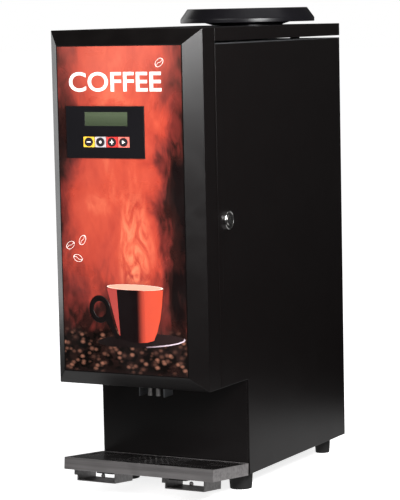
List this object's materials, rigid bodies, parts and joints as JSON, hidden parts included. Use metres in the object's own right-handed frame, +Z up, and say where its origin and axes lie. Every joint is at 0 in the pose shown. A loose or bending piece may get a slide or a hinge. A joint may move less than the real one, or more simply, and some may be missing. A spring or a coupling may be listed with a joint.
{
  "type": "hot drink vending machine",
  "caption": "Tall black countertop hot drink vending machine with a printed bevelled door, a small display with keys, a cup bay over a steel drip tray, and a round water filler on top.",
  "frame": {"origin": "on the floor, midway between the door's face and the back panel, and on the cabinet's centre plane", "axes": "+Z up, -Y to the front of the machine, +X to the right of someone facing +Y"},
  "size_m": [0.2423, 0.4516, 0.6565],
  "materials": {
    "black_coat": "gloss powder coat",
    "galvanised": "plain zinc sheet",
    "stainless": "brushed",
    "print": "printed film",
    "black_plastic": "satin moulded",
    "lcd": "clear",
    "circuit_board": "solder mask",
    "key_yellow": "satin",
    "key_grey": "satin",
    "key_red": "satin",
    "key_salmon": "satin",
    "chromed": "polished",
    "rubber_black": "matt",
    "clear_plastic": "translucent",
    "white_plastic": "moulded",
    "motor_case": "zinc and black",
    "foam": "foamed jacket",
    "silicone": "milky silicone",
    "rocker_red": "glossy"
  },
  "bodies": {
    "cabinet": {"side_panel_left": "black_coat", "side_panel_right": "black_coat", "base_pan": "black_coat", "rear_panel": "black_coat", "lower_front_panel": "black_coat", "head_floor_plate": "galvanised", "top_plate": "galvanised", "rear_bulkhead": "galvanised", "mixer_plate": "galvanised", "canister_shelf": "galvanised", "rubber_feet": "rubber_black", "tray_arms": "black_coat", "cabinet_hinges": "black_coat", "lock_body": "chromed", "power_inlet": "black_plastic", "power_switch_frame": "black_plastic", "exhaust_fan_frame": "black_plastic", "water_tank": "stainless", "tank_jacket": "foam", "tank_heater": "stainless", "water_valves": "motor_case", "silicone_hoses": "silicone", "canister_left": "clear_plastic", "canister_right": "clear_plastic", "canister_lids": "white_plastic", "auger_motors": "motor_case", "powder_chutes": "white_plastic", "mixing_bowl_left": "white_plastic", "mixing_bowl_right": "white_plastic", "whipper_motors": "motor_case", "nozzle_block": "galvanised", "dispensing_nozzles": "stainless", "main_board": "circuit_board"},
    "door": {"door_shell": "black_coat", "poster_sheet": "print", "control_bezel": "black_plastic", "lcd_window": "lcd", "display_board": "circuit_board", "display_cover": "black_plastic", "lock_keeper": "galvanised", "door_hinge_leaves": "black_coat"},
    "key_1": {"key_button_1": "key_yellow"},
    "key_2": {"key_button_2": "key_grey"},
    "key_3": {"key_button_3": "key_red"},
    "key_4": {"key_button_4": "key_salmon"},
    "lock": {"lock_plug": "chromed", "lock_cam": "chromed"},
    "tray": {"tray_pan": "stainless", "tray_brackets": "stainless"},
    "tray_plate": {"tray_plate": "stainless"},
    "cover": {"top_cover": "black_coat", "cover_bumpers": "rubber_black", "filler_funnel": "black_plastic"},
    "cap": {"filler_cap": "black_plastic"},
    "rocker": {"power_switch_rocker": "rocker_red"},
    "fan": {"exhaust_fan_rotor": "black_plastic"},
    "auger_left": {"auger_left": "white_plastic"},
    "auger_right": {"auger_right": "white_plastic"},
    "whipper_left": {"whipper_left": "white_plastic"},
    "whipper_right": {"whipper_right": "white_plastic"}
  },
  "joints": [
    {"name": "door_swing", "type": "hinge", "parent": "cabinet", "child": "door", "pos_m": [-0.1193, -0.1689, 0.394], "axis": [0, 0, -1], "range_deg": [0, 115]},
    {"name": "lock_turn", "type": "hinge", "parent": "cabinet", "child": "lock", "pos_m": [0.115, -0.1428, 0.3777], "axis": [1, 0, 0], "range_deg": [0, 90]},
    {"name": "key_1_press", "type": "slide", "parent": "door", "child": "key_1", "axis": [0, 1, 0], "range_m": [0, 0.001], "stiffness_N_per_m": 100},
    {"name": "key_2_press", "type": "slide", "parent": "door", "child": "key_2", "axis": [0, 1, 0], "range_m": [0, 0.001], "stiffness_N_per_m": 100},
    {"name": "key_3_press", "type": "slide", "parent": "door", "child": "key_3", "axis": [0, 1, 0], "range_m": [0, 0.001], "stiffness_N_per_m": 100},
    {"name": "key_4_press", "type": "slide", "parent": "door", "child": "key_4", "axis": [0, 1, 0], "range_m": [0, 0.001], "stiffness_N_per_m": 100},
    {"name": "tray_slide", "type": "slide", "parent": "cabinet", "child": "tray", "axis": [0, -0.9945, 0.1045], "range_m": [0, 0.06]},
    {"name": "tray_plate_lift", "type": "slide", "parent": "tray", "child": "tray_plate", "axis": [0, 0, 1], "range_m": [0, 0.04]},
    {"name": "cover_lift", "type": "slide", "parent": "cabinet", "child": "cover", "axis": [0, 0, 1], "range_m": [0, 0.12]},
    {"name": "cap_lift", "type": "slide", "parent": "cover", "child": "cap", "axis": [0, 0, 1], "range_m": [0, 0.06]},
    {"name": "power_switch_rock", "type": "hinge", "parent": "cabinet", "child": "rocker", "pos_m": [-0.016, 0.22, 0.0806], "axis": [-1, 0, 0], "range_deg": [0, 16]},
    {"name": "fan_spin", "type": "hinge", "parent": "cabinet", "child": "fan", "pos_m": [0, 0.2095, 0.567], "axis": [0, 1, 0], "continuous": true},
    {"name": "auger_left_spin", "type": "hinge", "parent": "cabinet", "child": "auger_left", "pos_m": [-0.0495, -0.009, 0.4157], "axis": [0, 1, 0], "continuous": true},
    {"name": "auger_right_spin", "type": "hinge", "parent": "cabinet", "child": "auger_right", "pos_m": [0.0495, -0.009, 0.4157], "axis": [0, 1, 0], "continuous": true},
    {"name": "whipper_left_spin", "type": "hinge", "parent": "cabinet", "child": "whipper_left", "pos_m": [-0.0495, -0.122, 0.302], "axis": [0, 1, 0], "continuous": true},
    {"name": "whipper_right_spin", "type": "hinge", "parent": "cabinet", "child": "whipper_right", "pos_m": [0.0495, -0.122, 0.302], "axis": [0, 1, 0], "continuous": true}
  ]
}
